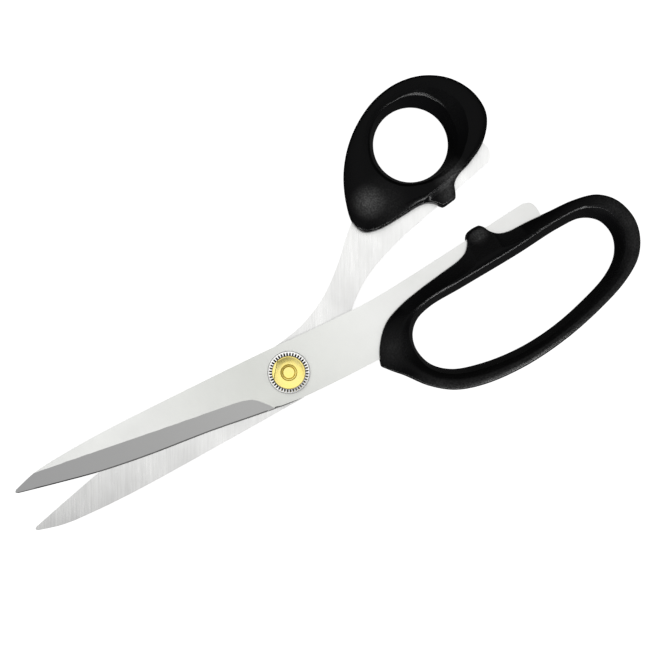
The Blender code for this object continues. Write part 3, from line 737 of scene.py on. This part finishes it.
def finger_handle(paint):
    """The finger bow: a ridge that runs round it, and a broken inner edge with an upright wall."""
    outline = even(chain(*FINGER_OUTLINE), OUTLINE_SPACING, OUTLINE_ROUNDING)
    hole = even(round_loop(FINGER_HOLE, HOLE_STEPS), HOLE_SPACING)
    bow = even(round_loop(FINGER_BOW), BOW_SPACING)
    inner = nearest_on(hole, outline)
    width = np.linalg.norm(outline - inner, axis=1) - KEPT_INSIDE
    outward = (outline - inner) / (width + KEPT_INSIDE)[:, None]
    body = np.minimum(width, distance_to(bow, inner, outward) + FINGER_SIDE_OUT)
    sections = []
    for i, values in enumerate(by_place(outline, FINGER_KEYS)):
        ridge, lean, radius, drop, *side, band = values
        corners = [
            *outer_side(width[i], body[i], *side),
            ((body[i] * ridge, MIDDLE), FINGER_RIDGE_RADIUS),
            ((lean + band, MIDDLE - drop), radius),
            ((lean, MIDDLE - drop - band * BAND_SLOPE), 0.2),
            ((0.0, NARROWEST), NARROWEST_RADIUS),
            *under_side(width[i], body[i]),
        ]
        sections.append(handle_section(inner[i], outward[i], corners))
    return loft("finger_handle_moulding", sections, paint)


def thumb_handle(paint):
    """The thumb bow: a round hole in a scoop whose lip and wall change all the way round."""
    outline = even(chain(*THUMB_OUTLINE), OUTLINE_SPACING, OUTLINE_ROUNDING)
    centre = np.array(THUMB_HOLE_CENTRE)
    spoke = outline - centre
    far = np.linalg.norm(spoke, axis=1)
    outward = spoke / far[:, None]
    inner = centre + outward * THUMB_HOLE_RADIUS
    width = far - THUMB_HOLE_RADIUS - KEPT_INSIDE
    bow = even(round_loop(THUMB_BOW), BOW_SPACING)
    body = np.minimum(width, distance_to(bow, inner, outward) + THUMB_SIDE_OUT)
    angles = np.degrees(np.arctan2(outward[:, 1], outward[:, 0]))
    at = [angle for angle, _ in THUMB_KEYS]
    columns = np.array([values for _, values in THUMB_KEYS]).T
    sections = []
    for i, angle in enumerate(angles):
        values = [np.interp(angle, at, column, period=360) for column in columns]
        lip, crease, depth, lip_radius, crease_radius, ridge, *side, band = values
        floor = MIDDLE - LIP_DROP - depth
        corners = [
            *outer_side(width[i], body[i], *side),
            ((lip + (body[i] - lip) * ridge, MIDDLE), THUMB_RIDGE_RADIUS),
            ((lip, MIDDLE - LIP_DROP), lip_radius),
            ((crease + band / 2, floor), 0.4),
            ((crease - band / 2, floor - band * BAND_SLOPE), crease_radius),
            ((0.0, NARROWEST), NARROWEST_RADIUS),
            *under_side(width[i], body[i]),
        ]
        sections.append(handle_section(inner[i], outward[i], corners))
    return loft("thumb_handle_moulding", sections, paint)


# ---------------------------------------------------------------- steel

# Faces are told apart by the Z of their normals: flat ones, the long ground face and the honed facet.
# A ground one under BROAD_AREA, in square metres, is a sliver whose own normal isn't used.
FLAT = 0.9999
GROUND = (0.9, 0.985)
HONED = (0.3, 0.85)
BROAD_AREA = 4e-8

# Points nearer than MERGED are one, and faces within ONE_FACE of each other are joined. Smooth shading
# runs over edges up to SAME_EDGE, and edges above SHARP are rounded by EDGE_ROUNDING.
MERGED = 1e-6
ONE_FACE = math.radians(0.2)
SAME_EDGE = math.radians(38)
SHARP = math.radians(55)
EDGE_ROUNDING = 0.00012

# The heel of the upper blade, where its cutting edge runs out towards the pivot.
HEEL_FROM, HEEL_TO, HEEL_SIDE = 0.0049, 0.0107, 0.00765
HEEL_MERGED = 0.00005
HEEL_CHAMFER = 0.00028


def is_within(limits, face):
    """Whether the face's slope is one of a kind: GROUND or HONED."""
    return limits[0] < face.normal.z < limits[1]


def ground_slope(shape):
    """The ground face's normal along the blade, as a smooth curve through those of its faces."""
    faces = [f for f in shape.faces if is_within(GROUND, f)]
    if not faces:
        return None
    at = [f.calc_center_median().x for f in faces]
    weight = [math.sqrt(f.calc_area()) for f in faces]
    across = np.polyfit(at, [f.normal.y / f.normal.z for f in faces], 2, w=weight)
    along = np.polyfit(at, [f.normal.x / f.normal.z for f in faces], 2, w=weight)
    return lambda x: Vector((np.polyval(along, x), np.polyval(across, x), 1)).normalized()


def plain_normal(face, corner, slope):
    """The normal that a flat face or the ground face gives a corner, or nothing for other faces."""
    if abs(face.normal.z) > FLAT:
        return face.normal
    if slope and is_within(GROUND, face) and face.calc_area() > BROAD_AREA:
        return slope(corner.co.x)
    return None


def corner_normal(face, corner, slope):
    """A corner's normal: its own broad face's, that of one it meets, or else a smooth one."""
    own = plain_normal(face, corner, slope)
    if own:
        return own
    total = Vector()
    for other in corner.link_faces:
        if other.normal.angle(face.normal, 0.0) > SAME_EDGE:
            continue
        broad = plain_normal(other, corner, slope)
        if broad:
            return broad
        total += other.normal * other.calc_area()
    return total.normalized() if total.length else face.normal


def heel_points(shape):
    """The points of the upper blade's outline at its heel."""
    return [v for v in shape.verts if HEEL_FROM < v.co.x < HEEL_TO and v.co.y > HEEL_SIDE]


def chamfer_heel(shape):
    """A wider chamfer along the top edge of the heel, once its crowded points are merged."""
    bmesh.ops.remove_doubles(shape, verts=heel_points(shape), dist=HEEL_MERGED)
    shape.normal_update()
    near = set(heel_points(shape))
    heel = [
        edge for edge in shape.edges
        if near.issuperset(edge.verts) and edge.calc_face_angle(0) > SHARP
        and max(face.normal.z for face in edge.link_faces) > GROUND[0]
    ]
    bmesh.ops.bevel(
        shape, geom=heel, offset=HEEL_CHAMFER, segments=1, profile=0.5, affect="EDGES",
        clamp_overlap=False,
    )
    shape.normal_update()


def blade(node, paint, heel=False):
    """The CAD node's own shape with its triangles joined into flat faces and its edges rounded."""
    shape = bmesh.new()
    shape.from_mesh(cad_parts[node].data)
    bmesh.ops.remove_doubles(shape, verts=shape.verts, dist=MERGED)
    bmesh.ops.dissolve_limit(shape, angle_limit=ONE_FACE, verts=shape.verts, edges=shape.edges)
    shape.normal_update()
    slope = ground_slope(shape)
    honed = {v for f in shape.faces if is_within(HONED, f) for v in f.verts}
    if heel:
        chamfer_heel(shape)
        honed = {v for v in honed if v.is_valid}
    sharp = [
        e for e in shape.edges
        if len(e.link_faces) == 2 and e.calc_face_angle() > SHARP
        and not honed.intersection(e.verts)
    ]
    bmesh.ops.bevel(
        shape, geom=sharp, offset=EDGE_ROUNDING, segments=2, profile=0.5, affect="EDGES",
        clamp_overlap=True,
    )
    bmesh.ops.triangulate(shape, faces=[f for f in shape.faces if len(f.verts) > 4])
    shape.normal_update()
    normals = [corner_normal(f, v, slope)[:] for f in shape.faces for v in f.verts]
    mesh = bpy.data.meshes.new(node + "_steel")
    shape.to_mesh(mesh)
    shape.free()
    mesh.shade_smooth()
    mesh.normals_split_custom_set(normals)
    mesh.materials.append(paint)
    made = bpy.data.objects.new(node + "_steel", mesh)
    bpy.context.scene.collection.objects.link(made)
    return made


# ---------------------------------------------------------------- pivot

# All in mm. Only points within TOP_ZONE of a piece's top are moved to make its gaps or its chord.
BORE = 2.08
TOP_ZONE = 0.6
TURNED_EDGE = math.radians(32)

# The gaps between teeth are V-shaped, GAP_HALF_WIDTH of a tooth's pitch to each side. They end
# GAP_ENDS outside the web, and get shallower over the last GAP_RUN_OUT.
TEETH = 40
STEPS_PER_TOOTH = 12
GAP_HALF_WIDTH = 0.29
GAP_DEPTH = 0.7
GAP_ENDS, GAP_RUN_OUT = 0.85, 0.4

# Beyond a chord the nut's rim is lower by CHORD_DROP, the last CHORD_SLOPE of it down a slope.
NUT_SEGMENTS = 192
NUT_CHORD = 4.05
NUT_CHORD_DIRECTION = math.radians(-39)
CHORD_DROP, CHORD_SLOPE = 0.3, 0.15


def turned(name, profile, height, paint, segments):
    """A closed profile of (radius, height) turned about Z, with height(r, z, angle) for its Z."""
    sections = []
    for i in range(segments):
        angle = 2 * math.pi * i / segments
        c, s = math.cos(angle), math.sin(angle)
        sections.append([(r * c, r * s, height(r, z, angle)) for r, z in profile])
    made = loft(name, sections, paint)
    made.data.set_sharp_from_angle(angle=TURNED_EDGE)
    return made


def arc(centre, radius, start, end, steps=5):
    """Points on a circular arc between two angles in degrees."""
    angles = [math.radians(start + (end - start) * i / steps) for i in range(steps + 1)]
    return [(centre[0] + radius * math.cos(a), centre[1] + radius * math.sin(a)) for a in angles]


def tension_dial(paint):
    """The cup with its ring of teeth, which are cut deepest beside the nut."""
    low, high = [corner.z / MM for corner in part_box("tension_dial")]
    inner, outer, skirt = 5.25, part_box("tension_dial")[1].x / MM, 5.5
    web_low, web_top = high - 1.3, high - 0.85
    crown = [(inner + 0.13 * i, high - 0.012 * i) for i in range(9)]
    rim = arc((outer - 0.18, crown[-1][1] - 0.22), 0.18, 70, 0)
    profile = [
        *crown, *rim, (outer, low + 0.2), (outer - 0.2, low), (skirt, low), (skirt, web_low),
        (BORE, web_low), (BORE, web_top), (inner, web_top),
    ]

    def height(r, z, angle):
        if z < high - TOP_ZONE or r < inner - 0.01:
            return z
        beat = (angle * TEETH / (2 * math.pi)) % 1
        gap = max(0.0, 1 - abs(beat - 0.5) / GAP_HALF_WIDTH)
        reach = min(1.0, max(0.0, (inner + GAP_ENDS - r) / GAP_RUN_OUT))
        return z - GAP_DEPTH * gap * reach

    return turned("tension_dial_toothed", profile, height, paint, TEETH * STEPS_PER_TOOTH)


def pivot_nut(paint):
    """A dished disc with a sunk well for the bolt's end, and a chord beyond which its rim is lower."""
    low, high = [corner.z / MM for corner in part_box("pivot_nut")]
    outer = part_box("pivot_nut")[1].x / MM
    well, floor = 2.5, high - 0.85
    first, last, sag = well + 0.12, outer - 0.3, 0.26
    shares = [i / 12 for i in range(13)]
    dish = [(first + (last - first) * s, high - sag * (1 - s**1.6)) for s in shares]
    profile = [
        (BORE, low), (BORE, floor), (well - 0.2, floor), (well, dish[0][1] - 0.12), *dish,
        *arc((outer - 0.2, high - 0.2), 0.2, 90, 0), (outer, low + 0.1), (outer - 0.1, low),
    ]

    def height(r, z, angle):
        beyond = r * math.cos(angle - NUT_CHORD_DIRECTION) - NUT_CHORD
        if beyond <= 0 or z < high - TOP_ZONE:
            return z
        return min(z, high - CHORD_DROP + CHORD_SLOPE * max(0.0, 1 - beyond / CHORD_SLOPE))

    return turned("pivot_nut_dished", profile, height, paint, NUT_SEGMENTS)


def build_pivot(gold, steel):
    """The dial and the nut in new shapes, and the bolt's own shape in the nut's gold."""
    for made, node, slot in (
        (tension_dial(steel), "tension_dial", "pivot_steel"),
        (pivot_nut(gold), "pivot_nut", "gold_plate"),
    ):
        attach(made, "tension_nut")
        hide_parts(node)
    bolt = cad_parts["pivot_bolt"]
    bolt.data.materials.clear()
    bolt.data.materials.append(gold)


# ---------------------------------------------------------------- all together


def main():
    make_camera()
    steel_upper = satin_steel()
    steel_lower = brushed_steel()
    finger_black = black_plastic("finger_black", FINGER_HIGHLIGHTS)
    thumb_black = black_plastic("thumb_black", THUMB_HIGHLIGHTS)
    gold = gold_plate()
    bright = nickel()
    white = nylon()

    upper = blade("upper_blade", steel_upper, heel=True)
    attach(upper, "finger_half")
    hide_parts("upper_blade")
    lower = blade("lower_blade", steel_lower)
    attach(lower, "thumb_half")
    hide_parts("lower_blade")

    finger = finger_handle(finger_black)
    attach(finger, "finger_half")
    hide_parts("finger_handle")
    thumb = thumb_handle(thumb_black)
    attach(thumb, "thumb_half")
    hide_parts("thumb_handle")
    mouldings = bpy.data.collections.new("mouldings")
    mouldings.objects.link(finger)
    mouldings.objects.link(thumb)
    make_studio(mouldings)

    build_pivot(gold, bright)
    for node, paint in (("spring_washer", bright), ("glide_washer", white)):
        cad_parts[node].data.materials.clear()
        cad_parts[node].data.materials.append(paint)


main()
